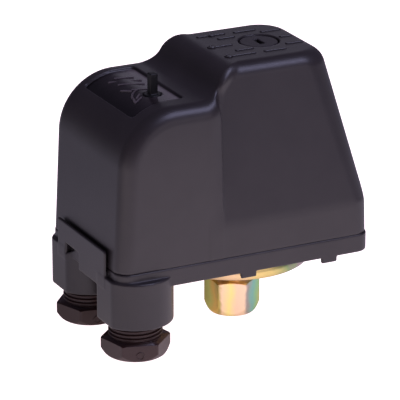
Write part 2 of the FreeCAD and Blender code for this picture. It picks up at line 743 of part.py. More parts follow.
named(make_contact_block(), "contact_block")
named(group([cheese_screw((-D.post_along, D.post_side * side, D.screw_seat), 2.7, 1.9, 1.5, 21.4,
                          "block_screw")
             for side in MIRRORED]), "block_screws")

bar_top = D.block_top + D.bar_steel
bar_half = 2.75
bars = []
tips = []
screws = []
clamps = []
for pole, side in POLES:
    y = pole * side
    bars.append(plate(rectangle(0.8 - D.block_back, -24.4, y - bar_half, y + bar_half),
                      [(-D.terminal_along, y, 1.75)], D.block_top, D.bar_steel, "bar"))
    tips.append(rod((-D.tip_along, y, bar_top), D.tip_radius, D.tip_height))
    screws.append(cheese_screw((-D.terminal_along, y, D.clamp_under + 1.2), 2.7, 2.2, 1.75, 8.6,
                               "terminal_screw"))
    clamps.append(plate(rectangle(-D.terminal_along - bar_half, bar_half - D.terminal_along,
                                  y - 2.6, y + 2.6),
                        [(-D.terminal_along, y, 1.9)], D.clamp_under, 1.2, "clamp"))
named(group(bars), "terminal_bars")
named(group(tips), "fixed_tips")
named(group(screws), "terminal_screws")
named(group(clamps), "wire_clamps")

bridge_under = bar_top + D.tip_height * 2.0
bridge_top = bridge_under + D.bridge_steel


def make_carrier():
    post = block((-21.4, -7.0, seat + 0.3), (-18.0, 7.0, D.arm_top))
    arm = block((-30.5, -13.0, D.arm_under), (-18.0, 13.0, D.arm_top))
    solids = [post, arm]
    for side in MIRRORED:
        y = bridge_side * side
        solids.append(rod((-D.tip_along, y, bridge_under - 1.0), 1.2, D.arm_top - bridge_under))
        solids.append(rod((-D.tip_along, y, bridge_under - 1.3), 1.9, 1.1))
    return fused(solids)


named(make_carrier(), "contact_carrier")

bridges = []
coils = []
bridge_tips = []
for side in MIRRORED:
    y = bridge_side * side
    bridges.append(plate(rectangle(-29.4, -24.6, y - 6.4, y + 6.4), [(-D.tip_along, y, 1.35)],
                         bridge_under, D.bridge_steel, "bridge"))
    coils.append(spring((-D.tip_along, y, bridge_top), 2.1, 0.5, D.arm_under - bridge_top, 4.5,
                        "bridge_coil"))
for pole, side in POLES:
    bridge_tips.append(rod((-D.tip_along, pole * side, bridge_under - D.tip_height), D.tip_radius,
                           D.tip_height))
named(group(bridges), "moving_bridges")
named(group(coils), "bridge_springs")
named(group(bridge_tips), "bridge_tips")

earth_holes = [(-D.earth_along, D.earth_side * side, 1.9) for side in MIRRORED]
named(plate(rectangle(-D.earth_along - 3.4, 3.4 - D.earth_along, -D.earth_side - 4.0,
                      D.earth_side + 4.0), earth_holes, D.base_floor, 1.5, "earth_strip"),
      "earth_bar")
named(group([cheese_screw((-D.earth_along, D.earth_side * side, D.base_floor + 3.4), 3.4, 2.2,
                          1.85, 4.6, "earth_screw") for side in MIRRORED]), "earth_screws")


# Selector in the low top

def make_selector():
    x = -D.selector_along
    y = -D.selector_side
    floor = D.low_top - D.recess_depth
    hub = turned([(0, 65.0), (2.5, 65.0), (2.5, 82.0), (D.selector_shaft, 82.4),
                  (D.selector_shaft, floor + 0.05), (D.selector_hub, floor + 0.05),
                  (D.selector_hub, floor + 0.3), (D.selector_hub - 0.2, floor + 0.5),
                  (0, floor + 0.5)], (x, y, 0), "selector_turned")
    half = D.selector_half
    post = block((x - half, y - half, floor), (x + half, y + half, D.selector_top))
    post = rounded(post, 0.3, lambda edge: edge.BoundBox.ZMax > D.selector_top.value - 0.2)
    cam = block((x, y - 2.5, 65.0), (x + 9.0, y + 2.5, 67.6))
    groove = cut(rod((x, y, 82.9), 4.5, 0.9), [rod((x, y, 82.0), 2.6, 3.0)])
    return cut(fused([hub, post, cam]), [groove])


named(make_selector(), "selector_knob")
clip_place = (-D.selector_along, -D.selector_side, 82.95)
named(ring(clip_place, 2.6, 5.0, 0.8, "clip_ring"), "selector_clip")


# Cover screw with its retaining washer

def make_cover_screw():
    x = D.range_along
    top = D.high_top - 0.4
    head_under = D.high_top - D.well_depth + 0.05
    body = turned([(D.range_stud + 0.05, 78.0), (D.cover_screw_shank, 78.0),
                   (D.cover_screw_shank, head_under), (D.cover_screw_head, head_under),
                   (D.cover_screw_head, top - 0.5), (D.cover_screw_head - 0.5, top), (0, top),
                   (0, 89.0), (D.range_stud + 0.05, 89.0)], (x, 0, 0), "cover_screw_turned")
    slot = block((x - 0.75, -2.6, top - 2.2), (x + 0.75, 2.6, top + 1.0))
    groove = cut(rod((x, 0, 86.6), 8.0, 0.9), [rod((x, 0, 86.0), 4.0, 3.0)])
    return cut(body, [slot, groove])


named(make_cover_screw(), "cover_screw")
named(ring((D.range_along, 0, 86.65), 4.0, 6.2, 0.8, "washer_ring"), "cover_screw_washer")


# Cable glands

def gland_nut(y, turn):
    """A hollow hexagonal screw with a ridged barrel."""
    hexes = hexagon((-D.gland_back, y, D.gland_hex_under), D.gland_flats,
                    D.gland_hex_top - D.gland_hex_under, turn)
    half_flats = D.gland_flats / 2.0
    corner = D.gland_flats / math.sqrt(3.0)
    blank = turned([(0, D.gland_hex_under), (half_flats - 0.7, D.gland_hex_under),
                    (corner - 0.3, D.gland_hex_under + 1.5), (corner + 0.1, D.gland_hex_under + 2.3),
                    (corner + 0.1, D.gland_hex_top - 0.4), (corner - 0.5, D.gland_hex_top),
                    (0, D.gland_hex_top)], (-D.gland_back, y, 0), "gland_blank")
    head = common([hexes, blank])
    profile = [(0, D.gland_hex_top - 1.0), (D.gland_core, D.gland_hex_top - 1.0)]
    ridges = 8
    for i in range(ridges):
        foot = D.gland_hex_top + 0.75 + D.gland_pitch * i
        profile += [(D.gland_core, foot), (D.gland_thread, foot + 0.36),
                    (D.gland_thread, foot + 0.56), (D.gland_core, foot + 0.92)]
    profile += [(D.gland_core, D.gland_nut_top), (0, D.gland_nut_top)]
    barrel = turned(profile, (-D.gland_back, y, 0), "gland_barrel")
    hole = rod((-D.gland_back, y, -3.0), D.gland_nut_bore, 30.0)
    return cut(fused([head, barrel]), [hole])


for side, suffix, turn in ((-1, "front", 33.3 - 50.0), (1, "back", 33.3 - 44.0)):
    y = D.gland_side * side
    named(gland_nut(y, turn), "gland_nut_" + suffix)
    named(ring((-D.gland_back, y, 18.0), D.gland_nut_bore + 0.3, D.gland_bore - 0.25, 1.0,
               "gland_washer_ring"), "gland_washer_" + suffix)
    named(ring((-D.gland_back, y, 19.05), 4.5, D.gland_bore - 0.3, 6.0, "gland_seal_ring"),
          "gland_seal_" + suffix)


# Checks and output

doc.recompute()
for thing in doc.Objects:
    if any(word in state for state in thing.State for word in ("Invalid", "Error")):
        raise RuntimeError("%s (%s) failed: %s" % (thing.Name, thing.Label, thing.State))
for piece in subparts:
    if piece.Shape.isNull() or not piece.Shape.isValid():
        raise RuntimeError("%s has no valid shape" % piece.Label)

os.makedirs("parts", exist_ok=True)
for piece in subparts:
    piece.Shape.exportStep("parts/%s.step" % piece.Label)
    print("%-20s solids %d  volume %.1f" % (piece.Label, len(piece.Shape.Solids), piece.Shape.Volume))
print(len(subparts), "sub-parts")
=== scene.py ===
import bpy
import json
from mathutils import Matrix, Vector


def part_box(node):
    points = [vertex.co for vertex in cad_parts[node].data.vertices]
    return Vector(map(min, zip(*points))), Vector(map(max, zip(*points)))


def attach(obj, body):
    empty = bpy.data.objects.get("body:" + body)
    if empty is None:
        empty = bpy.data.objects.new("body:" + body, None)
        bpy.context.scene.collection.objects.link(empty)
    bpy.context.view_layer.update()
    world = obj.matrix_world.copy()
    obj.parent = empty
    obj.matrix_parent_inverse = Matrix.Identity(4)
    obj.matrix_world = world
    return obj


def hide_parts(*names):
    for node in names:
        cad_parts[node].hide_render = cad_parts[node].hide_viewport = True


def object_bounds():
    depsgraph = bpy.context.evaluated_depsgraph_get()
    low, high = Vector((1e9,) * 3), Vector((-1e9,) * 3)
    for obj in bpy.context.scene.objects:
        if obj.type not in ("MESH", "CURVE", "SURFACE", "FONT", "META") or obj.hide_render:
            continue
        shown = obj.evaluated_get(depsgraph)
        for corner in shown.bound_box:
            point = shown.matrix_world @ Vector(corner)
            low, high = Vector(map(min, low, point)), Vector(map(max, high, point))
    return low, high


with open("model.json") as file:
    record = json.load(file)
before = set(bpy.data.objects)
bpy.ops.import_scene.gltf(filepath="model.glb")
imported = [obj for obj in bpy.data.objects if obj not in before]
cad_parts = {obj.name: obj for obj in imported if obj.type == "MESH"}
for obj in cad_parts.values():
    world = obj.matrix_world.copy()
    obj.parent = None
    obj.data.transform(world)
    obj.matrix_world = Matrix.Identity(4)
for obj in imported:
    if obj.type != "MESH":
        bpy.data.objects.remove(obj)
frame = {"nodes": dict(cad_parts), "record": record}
cad_box = [list(corner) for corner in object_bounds()]

import json
import math

import bpy
import numpy as np
from mathutils import Matrix, Vector

# Shapes are worked out in millimetres and written to meshes in metres.
MM = 0.001


def mesh_piece(name, points, faces, material, body, replaces=(), smooth=True):
    """Makes a piece from points in millimetres, rides it on its body and gives it its finish."""
    mesh = bpy.data.meshes.new(name)
    mesh.from_pydata([tuple(point) for point in np.asarray(points, float) * MM], [],
                     [tuple(int(i) for i in face) for face in faces])
    mesh.validate()
    if smooth:
        mesh.polygons.foreach_set("use_smooth", [True] * len(mesh.polygons))
    mesh.materials.append(material)
    piece = bpy.data.objects.new(name, mesh)
    bpy.context.scene.collection.objects.link(piece)
    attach(piece, body)
    if replaces:
        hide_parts(*replaces)
    return piece


# Solids as distance fields: negative inside, in millimetres

def rounded_max(a, b, radius):
    """The overlap of two solids, with the edge between them rounded to a radius."""
    over = np.hypot(np.maximum(a + radius, 0), np.maximum(b + radius, 0))
    return np.minimum(np.maximum(a, b), -radius) + over


def rounded_min(a, b, radius):
    """Two solids joined, with the corner between them filled to a radius."""
    return -rounded_max(-a, -b, radius)


def carved(solid, tool, radius=0.0):
    return rounded_max(solid, -tool, radius) if radius else np.maximum(solid, -tool)


def box_field(x, y, z, low, high, radius=0.0):
    """A box between two corners, with all its edges rounded."""
    parts = []
    for value, start, end in zip((x, y, z), low, high):
        parts.append(np.abs(value - (start + end) / 2.0) - (end - start) / 2.0 + radius)
    outside = np.sqrt(sum(np.maximum(part, 0) ** 2 for part in parts))
    return outside + np.minimum(np.maximum(np.maximum(parts[0], parts[1]), parts[2]), 0) - radius


def rod_field(x, y, z, centre, radius, low, high, edge=0.0):
    """An upright cylinder with rounded rims."""
    side = np.hypot(x - centre[0], y - centre[1]) - radius
    ends = np.maximum(low - z, z - high)
    return rounded_max(side, ends, edge) if edge else np.maximum(side, ends)


def smooth_step(value, start, end):
    t = np.clip((value - start) / (end - start), 0, 1)
    return t * t * (3 - 2 * t)


CUBE_EDGES = [((0, 0, 0), (1, 0, 0)), ((0, 1, 0), (1, 1, 0)), ((0, 0, 1), (1, 0, 1)),
              ((0, 1, 1), (1, 1, 1)), ((0, 0, 0), (0, 1, 0)), ((1, 0, 0), (1, 1, 0)),
              ((0, 0, 1), (0, 1, 1)), ((1, 0, 1), (1, 1, 1)), ((0, 0, 0), (0, 0, 1)),
              ((1, 0, 0), (1, 0, 1)), ((0, 1, 0), (0, 1, 1)), ((1, 1, 0), (1, 1, 1))]


def skin(field, low, high, step, settle=4):
    """The surface of a distance field as quads: one point in each cell that the surface crosses."""
    low = np.asarray(low, float)
    counts = [int(math.ceil((b - a) / step)) + 1 for a, b in zip(low, high)]
    axes = [a + step * np.arange(n) for a, n in zip(low, counts)]
    grid = np.meshgrid(*axes, indexing="ij")
    values = field(*grid)
    inside = values < 0
    corners = sum(inside[i:counts[0] - 1 + i, j:counts[1] - 1 + j, k:counts[2] - 1 + k].astype(int)
                  for i in (0, 1) for j in (0, 1) for k in (0, 1))
    crossed = (corners > 0) & (corners < 8)
    number = np.full(crossed.shape, -1)
    cells = np.argwhere(crossed)
    number[crossed] = np.arange(len(cells))
    total = np.zeros((len(cells), 3))
    hits = np.zeros(len(cells))
    for a, b in CUBE_EDGES:
        start = values[tuple((cells + a).T)]
        end = values[tuple((cells + b).T)]
        cut = (start < 0) != (end < 0)
        share = np.where(cut, start / np.where(cut, start - end, 1), 0)
        spot = np.asarray(a) + share[:, None] * (np.asarray(b) - np.asarray(a))
        total += np.where(cut[:, None], spot, 0)
        hits += cut
    points = low + step * (cells + total / hits[:, None])
    faces = []
    for axis in range(3):
        others = [i for i in range(3) if i != axis]
        first = [slice(1, -1)] * 3
        first[axis] = slice(0, -1)
        second = list(first)
        second[axis] = slice(1, None)
        here = inside[tuple(first)]
        there = inside[tuple(second)]
        flips = np.argwhere(here != there)
        leaving = here[tuple(flips.T)]
        base = flips.copy()
        for other in others:
            base[:, other] += 1
        around = []
        for du, dv in ((1, 1), (0, 1), (0, 0), (1, 0)):
            cell = base.copy()
            cell[:, others[0]] -= du
            cell[:, others[1]] -= dv
            around.append(number[tuple(cell.T)])
        quads = np.stack(around, axis=1)
        outward = leaving if axis != 1 else ~leaving
        quads[~outward] = quads[~outward][:, ::-1]
        faces.append(quads)
    faces = np.concatenate(faces)
    nudge = 0.02
    for _ in range(settle):
        slope = np.stack([
            field(*(points + offset).T) - field(*(points - offset).T)
            for offset in np.eye(3) * nudge], axis=1) / (2 * nudge)
        size = np.maximum((slope ** 2).sum(1), 0.05)
        move = -(field(*points.T) / size)[:, None] * slope
        reach = np.linalg.norm(move, axis=1, keepdims=True)
        points = points + move * np.minimum(1.0, 0.4 * step / np.maximum(reach, 1e-9))
    return points, faces


def rings_piece(rings):
    """Quads through a closed row of rings; each ring is (radius, height) for every angle."""
    count = len(rings[0][0])
    angle = np.arange(count) * 2 * math.pi / count
    points = [np.stack([r * np.cos(angle), r * np.sin(angle), z + 0 * angle], axis=1)
              for r, z in rings]
    faces = []
    for i in range(len(rings)):
        j = (i + 1) % len(rings)
        for k in range(count):
            m = (k + 1) % count
            faces.append((i * count + k, i * count + m, j * count + m, j * count + k))
    return np.concatenate(points), faces


# Materials

class Shader:
    """A procedural material being put together."""

    def __init__(self, name, roughness=0.5, metallic=0.0, specular=0.5):
        self.material = bpy.data.materials.new(name)
        self.material.use_nodes = True
        self.nodes = self.material.node_tree.nodes
        self.links = self.material.node_tree.links
        self.surface = self.nodes["Principled BSDF"]
        self.surface.inputs["Roughness"].default_value = roughness
        self.surface.inputs["Metallic"].default_value = metallic
        self.surface.inputs["Specular IOR Level"].default_value = specular
        self.place = self.nodes.new("ShaderNodeTexCoord").outputs["Object"]

    def noise(self, scale, detail=3.0, rough=0.5, warp=0.0):
        node = self.nodes.new("ShaderNodeTexNoise")
        node.inputs["Scale"].default_value = scale
        node.inputs["Detail"].default_value = detail
        node.inputs["Roughness"].default_value = rough
        node.inputs["Distortion"].default_value = warp
        self.links.new(self.place, node.inputs["Vector"])
        return node.outputs["Fac"]

    def ramp(self, source, stops):
        node = self.nodes.new("ShaderNodeValToRGB")
        elements = node.color_ramp.elements
        while len(elements) < len(stops):
            elements.new(0.5)
        for element, (position, colour) in zip(elements, stops):
            element.position = position
            element.color = (*colour, 1.0)
        self.links.new(source, node.inputs["Fac"])
        return node.outputs["Color"]

    def range(self, source, low, high):
        node = self.nodes.new("ShaderNodeMapRange")
        node.inputs["To Min"].default_value = low
        node.inputs["To Max"].default_value = high
        self.links.new(source, node.inputs["Value"])
        return node.outputs["Result"]

    def maths(self, kind, first, second, third=0.5):
        node = self.nodes.new("ShaderNodeMath")
        node.operation = kind
        for socket, value in zip(node.inputs, (first, second, third)):
            if isinstance(value, (int, float)):
                socket.default_value = value
            else:
                self.links.new(value, socket)
        return node.outputs["Value"]

    def axis(self, letter):
        node = self.nodes.new("ShaderNodeSeparateXYZ")
        self.links.new(self.place, node.inputs["Vector"])
        return node.outputs[letter]

    def colour(self, source):
        self.links.new(source, self.surface.inputs["Base Color"])

    def rough(self, source):
        self.links.new(source, self.surface.inputs["Roughness"])

    def bump(self, source, strength, depth):
        node = self.nodes.new("ShaderNodeBump")
        node.inputs["Strength"].default_value = strength
        node.inputs["Distance"].default_value = depth
        self.links.new(source, node.inputs["Height"])
        self.links.new(node.outputs["Normal"], self.surface.inputs["Normal"])


def grey(value, warm=0.0):
    return (value * (1 + warm), value, value * (1 - warm))


def plastic(name, dark, light, roughness, grain, depth, specular=0.5):
    """Moulded plastic with a fine eroded grain and slightly cloudy colour."""
    shader = Shader(name, roughness, specular=specular)
    shader.colour(shader.ramp(shader.noise(55.0, 4.0, 0.6), [(0.3, dark), (0.7, light)]))
    fine = shader.noise(grain, 2.0, 0.6)
    shader.rough(shader.range(fine, roughness - 0.06, roughness + 0.07))
    shader.bump(fine, 0.5, depth)
    return shader.material


def metal(name, dark, light, roughness, depth=0.00001):
    """Plated or plain metal with faint tool marks."""
    shader = Shader(name, roughness, metallic=1.0)
    marks = shader.noise(900.0, 4.0, 0.6)
    shader.colour(shader.ramp(shader.noise(120.0, 5.0, 0.65), [(0.3, dark), (0.7, light)]))
    shader.rough(shader.range(marks, roughness - 0.08, roughness + 0.1))
    shader.bump(marks, 0.4, depth)
    return shader.material


FILM_DRIFT = (0.446, -0.225)


def yellow_zinc(name, reach, stops):
    """Yellow chromate over zinc, whose thin film drifts from straw to pink and green round a piece."""
    shader = Shader(name, 0.3, metallic=1.0)
    along = shader.maths("MULTIPLY", shader.axis("X"), FILM_DRIFT[0] / reach)
    across = shader.maths("MULTIPLY", shader.axis("Y"), FILM_DRIFT[1] / reach)
    drift = shader.maths("ADD", shader.maths("ADD", along, across), 0.5)
    cloud = shader.noise(120.0, 3.0, 0.55, warp=0.6)
    film = shader.maths("ADD", drift, shader.range(cloud, -0.11, 0.11))
    shader.colour(shader.ramp(film, stops))
    marks = shader.noise(1500.0, 3.0, 0.6)
    shader.rough(shader.range(marks, 0.26, 0.42))
    shader.bump(marks, 0.3, 0.00001)
    return shader.material


HOUSING = plastic("housing_plastic", (0.020, 0.0165, 0.0185), (0.027, 0.0225, 0.0245), 0.38, 2600.0,
                  0.00003)
GLAND = plastic("gland_plastic", (0.036, 0.016, 0.014), (0.048, 0.022, 0.019), 0.38, 1800.0, 0.00002,
                specular=0.4)
KNOB_PLASTIC = plastic("selector_plastic", grey(0.006), grey(0.010), 0.45, 1500.0, 0.00001,
                       specular=0.3)
SCREW_HEAD = plastic("screw_plastic", (0.024, 0.020, 0.023), (0.032, 0.027, 0.030), 0.5, 2600.0,
                     0.00003)
BLOCK = plastic("block_plastic", grey(0.035, 0.1), grey(0.055, 0.1), 0.5, 1400.0, 0.00003)
IVORY = plastic("carrier_plastic", (0.62, 0.60, 0.54), (0.72, 0.70, 0.64), 0.42, 1200.0, 0.00002)
RUBBER = plastic("rubber", grey(0.014), grey(0.022), 0.75, 1300.0, 0.00004, specular=0.3)
FIBRE = plastic("fibre", (0.28, 0.07, 0.04), (0.38, 0.11, 0.06), 0.7, 900.0, 0.00006)
ZINC = metal("bright_zinc", grey(0.50), grey(0.66), 0.34)
SPRING = metal("spring_steel", grey(0.24, 0.03), grey(0.36, 0.03), 0.3, depth=0.000006)
BRASS = metal("brass", (0.55, 0.37, 0.13), (0.74, 0.53, 0.22), 0.3)
SILVER = metal("contact_silver", grey(0.74, 0.02), grey(0.86, 0.02), 0.26)
FLANGE_FILM = [(0.0, (0.32, 0.27, 0.08)), (0.2, (0.62, 0.46, 0.20)), (0.5, (0.82, 0.58, 0.32)),
               (0.66, (0.78, 0.60, 0.22)), (0.76, (0.70, 0.56, 0.20)), (0.84, (0.26, 0.36, 0.16)),
               (0.92, (0.34, 0.27, 0.26)), (1.0, (0.42, 0.36, 0.38))]
NUT_FILM = [(0.0, (0.44, 0.42, 0.10)), (0.1, (0.56, 0.58, 0.14)), (0.18, (0.80, 0.52, 0.12)),
            (0.25, (0.52, 0.42, 0.12)), (0.31, (1.0, 0.74, 0.46)), (0.46, (1.0, 0.86, 0.30)),
            (0.57, (1.0, 0.72, 0.46)), (0.73, (1.0, 0.74, 0.48)), (0.79, (0.44, 0.38, 0.32)),
            (0.87, (0.24, 0.54, 0.42)), (0.94, (0.32, 0.60, 0.26)), (1.0, (0.50, 0.56, 0.2))]
YELLOW = yellow_zinc("yellow_zinc", 0.028, FLANGE_FILM)
YELLOW_NUT = yellow_zinc("yellow_zinc_nut", 0.0098, NUT_FILM)
MARK_GLOSS = plastic("mark_gloss", (0.085, 0.070, 0.080), (0.11, 0.090, 0.10), 0.28, 2600.0, 0.000006)


def recess_gloss_painted_light():
    """Polished plastic, painted deep black at the curved end as painted shade and paler towards the
    other end as a painted reflection.
    """
    shader = Shader("recess_gloss_painted_light", 0.24, specular=0.35)
    # Painted shade and painted reflection: the colour runs from near black at the left end of the recess
    # to paler at the right end.
    place = shader.maths("MULTIPLY_ADD", shader.axis("X"), 50.0, 2.31)
    cloud = shader.range(shader.noise(160.0), -0.12, 0.12)
    shader.colour(shader.ramp(shader.maths("ADD", place, cloud), [
        (0.1, (0.004, 0.003, 0.004)), (0.5, (0.020, 0.015, 0.018)), (0.76, (0.070, 0.057, 0.065)),
        (0.95, (0.12, 0.098, 0.110))]))
    shader.rough(shader.range(shader.noise(2600.0), 0.2, 0.3))
    return shader.material


RECESS_GLOSS_PAINTED_LIGHT = recess_gloss_painted_light()
BY_SLOT = {"housing_plastic": HOUSING, "gland_plastic": GLAND, "selector_plastic": KNOB_PLASTIC,
           "screw_plastic": SCREW_HEAD, "block_plastic": BLOCK, "carrier_plastic": IVORY,
           "rubber": RUBBER, "fibre": FIBRE, "bright_zinc": ZINC, "spring_steel": SPRING,
           "brass": BRASS, "contact_silver": SILVER, "yellow_zinc": YELLOW}

for row in frame["record"]["subparts"]:
    node = frame["nodes"][row["node"]]
    node.data.materials.clear()
    node.data.materials.append(BY_SLOT[row["material_slot"]])


# Sizes in millimetres

def box_mm(node):
    low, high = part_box(node)
    return np.array(low) / MM, np.array(high) / MM


cover_low, cover_high = box_mm("cover")
base_low, base_high = box_mm("base")
knob_low, knob_high = box_mm("selector_knob")
head_low, head_high = box_mm("cover_screw")

SEAM = cover_low[2]
ROOF = cover_high[2] - 0.35
HALF = cover_high[1]
SHELF = 86.9
CREASE = -17.5
RISE_START = -24.2
RISE_END = -9.0
BAND_TOP = 45.0
LEAN = math.radians(7.4)
SLOPE_FOOT = 39.0
SLOPE_TOP = 26.8
END_FOOT = -56.5
END_FOOT_HEIGHT = 27.3
END_LEAN = math.atan2(1.95, 38.7)
WALL = 2.0
RECESS_DEPTH = 0.95
RECESS = ((-46.2, -17.6), (-27.4, 20.8))
SCREW_X = (head_low[0] + head_high[0]) / 2.0
KNOB = (-33.7, -6.9)


def roof_height(x):
    """The height of the top along the cover: low shelf, rise and high roof."""
    run = RISE_END - RISE_START
    climb = ROOF - SHELF
    bend = 2.0 * math.atan2(climb, run)
    radius = run / (2.0 * math.sin(bend))
    first = np.clip(x - RISE_START, 0, run / 2.0)
    second = np.clip(RISE_END - x, 0, run / 2.0)
    hollow = SHELF + radius - np.sqrt(radius ** 2 - first ** 2)
    crest = ROOF - radius + np.sqrt(radius ** 2 - second ** 2)
    return np.where(x < (RISE_START + RISE_END) / 2.0, hollow, crest)


def roof_slant(x):
    step = 0.05
    rise = (roof_height(x + step) - roof_height(x - step)) / (2 * step)
    return 1.0 / np.sqrt(1.0 + rise ** 2)


def cover_body(x, y, z):
    """The cover filled solid."""
    across = np.abs(y)
    roof = (z - roof_height(x)) * roof_slant(x)
    left = (END_FOOT + (z - END_FOOT_HEIGHT) * math.tan(END_LEAN) - x) * math.cos(END_LEAN)
    tilted = (across - (HALF - 0.25) + (z - BAND_TOP) * math.tan(LEAN)) * math.cos(LEAN)
    upright = across - HALF
    high_side = rounded_max(tilted, upright, 0.25)
    slope = math.atan2(SLOPE_FOOT - SLOPE_TOP, ROOF - BAND_TOP)
    slanted = (x - SLOPE_FOOT + (z - BAND_TOP) * math.tan(slope)) * math.cos(slope)
    end = rounded_max(slanted, x - cover_high[0], 1.5)
    corner = 6.0 + 5.0 * np.clip((z - SEAM) / (ROOF - SEAM), 0, 1)
    high = rounded_max(rounded_max(high_side, end, corner), roof, 4.6)
    narrow = smooth_step(x, RISE_START + 1.0, RISE_END)
    low_side = upright + np.maximum(0.0, tilted - upright) * narrow
    low = rounded_max(low_side, rounded_max(left, roof, 19.5), 5.6)
    crease = CREASE + 8.0 * smooth_step(z, SHELF - 2.0, ROOF) ** 1.5
    soften = smooth_step(z, SHELF - 9.0, SHELF + 3.0)
    low = rounded_max(low, x - crease, 0.5 + 2.2 * soften)
    high = np.maximum(high, crease - 5.0 - x)
    return np.maximum(rounded_min(low, high, 0.6 + 2.6 * soften), roof)


def cover_shell(x, y, z):
    """The hollow cover with its recess, screw well and selector hole."""
    solid = cover_body(x, y, z)
    shell = carved(solid, solid + WALL)
    shell = rounded_max(shell, SEAM - z, 0.35)
    (left, near), (right, far) = RECESS
    plan = box_field(x, y, 0 * z, (left, near, -50), (right, far, 50), 1.4)
    pocket = rounded_max(plan, -(solid + RECESS_DEPTH), 0.3)
    shell = carved(shell, pocket, 0.3)
    well_floor = ROOF - 6.0
    boss = rounded_max(rod_field(x, y, z, (SCREW_X, 0), 9.2, ROOF - 9.0, ROOF + 5), solid, 0.1)
    shell = np.minimum(shell, boss)
    shell = carved(shell, rod_field(x, y, z, (SCREW_X, 0), 7.1, well_floor, ROOF + 5), 0.35)
    shell = carved(shell, rod_field(x, y, z, (SCREW_X, 0), 4.5, ROOF - 12, ROOF + 5))
    return carved(shell, rod_field(x, y, z, KNOB, 3.2, 80, 90), 0.2)


COVER_STEP = 0.55
points, faces = skin(cover_shell, cover_low - 1.3, cover_high + 1.3, COVER_STEP)
mesh_piece("cover_moulding", points, faces, HOUSING, "hood", ["cover"])


def top_height(x, y, depth=0.0):
    """The height of the cover's top over a point, or of a surface that far below it."""
    low = np.full(np.shape(x), 70.0)
    high = np.full(np.shape(x), ROOF + 3.0)
    for _ in range(30):
        middle = (low + high) / 2.0
        inside = cover_body(x, y, middle) < -depth
        low = np.where(inside, middle, low)
        high = np.where(inside, high, middle)
    return (low + high) / 2.0


def raised_mark(start, end, width, lift, depth=0.0):
    """A raised bar with round ends that lies on the cover's top."""
    start, end = np.array(start, float), np.array(end, float)
    along = (end - start) / np.linalg.norm(end - start)
    across = np.array([-along[1], along[0]])
    turns = np.linspace(-math.pi / 2, math.pi / 2, 9)
    rim = [(end, t) for t in turns] + [(start, t + math.pi) for t in turns]
    points = []
    for share, height in ((1.0, -0.2), (1.0, lift * 0.6), (0.86, lift), (0.45, lift)):
        for centre, turn in rim:
            reach = width / 2.0 * share
            spot = centre + along * math.cos(turn) * reach + across * math.sin(turn) * reach
            points.append((spot[0], spot[1], height))
    count = len(rim)
    faces = [(i * count + k, i * count + (k + 1) % count, (i + 1) * count + (k + 1) % count,
              (i + 1) * count + k) for i in range(3) for k in range(count)]
    faces.append(tuple(3 * count + k for k in range(count)))
    points = np.array(points)
    points[:, 2] += top_height(points[:, 0], points[:, 1], depth)
    return points, faces


def raised_ring(centre, radius, width, lift, depth=0.0, sweep=(0, 360)):
    """A raised ring, or an arc of one, that lies on the cover's top."""
    first, last = (math.radians(angle) for angle in sweep)
    whole = last - first > 6.2
    steps = 28
    points = []
    for i in range(steps + 1):
        turn = first + (last - first) * i / steps
        for side, height in ((-0.5, -0.2), (-0.5, lift * 0.6), (-0.3, lift), (0.3, lift),
                             (0.5, lift * 0.6), (0.5, -0.2)):
            reach = radius + side * width
            points.append((centre[0] + reach * math.cos(turn), centre[1] + reach * math.sin(turn),
                           height))
    faces = [(i * 6 + k, (i + 1) * 6 + k, (i + 1) * 6 + (k + 1) % 6, i * 6 + (k + 1) % 6)
             for i in range(steps) for k in range(6)]
    if not whole:
        faces += [tuple(range(6)), tuple(reversed(range(steps * 6, steps * 6 + 6)))]
    points = np.array(points)
    points[:, 2] += top_height(points[:, 0], points[:, 1], depth)
    return points, faces


def joined(shapes):
    points, faces = [], []
    for shape_points, shape_faces in shapes:
        start = sum(len(block) for block in points)
        points.append(shape_points)
        faces += [tuple(start + i for i in face) for face in shape_faces]
    return np.concatenate(points), faces


# Blank raised bars around the cover screw: start and end along the top, and place across it
ROOF_MARKS = [(-7.9, -0.7, 0.4), (-1.6, 4.0, -6.4), (-7.3, 2.4, -11.2), (6.7, 13.8, -11.4),
              (-6.6, -3.0, 12.9), (-1.9, 2.9, 12.7), (-1.1, 4.2, 8.0), (7.1, 14.3, 12.2),
              (15.8, 22.4, 8.8), (19.0, 22.8, 0.9), (17.3, 22.7, -7.0)]
marks = [raised_mark((start, across), (end, across), 1.5, 0.3) for start, end, across in ROOF_MARKS]
marks += [raised_ring((ROOF_MARKS[i][0], ROOF_MARKS[i][2]), 1.25, 0.5, 0.34) for i in (0, 2, 5)]
points, faces = joined(marks)
mesh_piece("roof_marks", points, faces, HOUSING, "hood", smooth=False)

# Plain strokes and a turning arrow beside the selector
strokes = [((-40.3, 13.2), (-30.9, 7.9)), ((-37.7, 14.2), (-31.9, 12.0)),
           ((-39.0, 8.3), (-31.7, 4.0)), ((-40.5, 3.3), (-38.5, -0.1)),
           ((-37.6, 0.6), (-31.5, -2.2)), ((-39.7, -7.1), (-37.6, -4.9)),
           ((-41.3, -9.4), (-38.5, -7.8)), ((-41.3, -9.4), (-40.6, -6.6))]
shapes = [raised_mark(start, end, 0.75, 0.42, RECESS_DEPTH) for start, end in strokes]
shapes.append(raised_ring(KNOB, 6.9, 0.75, 0.42, RECESS_DEPTH, (112, 172)))
points, faces = joined(shapes)
mesh_piece("selector_marks", points, faces, MARK_GLOSS, "hood", smooth=False)


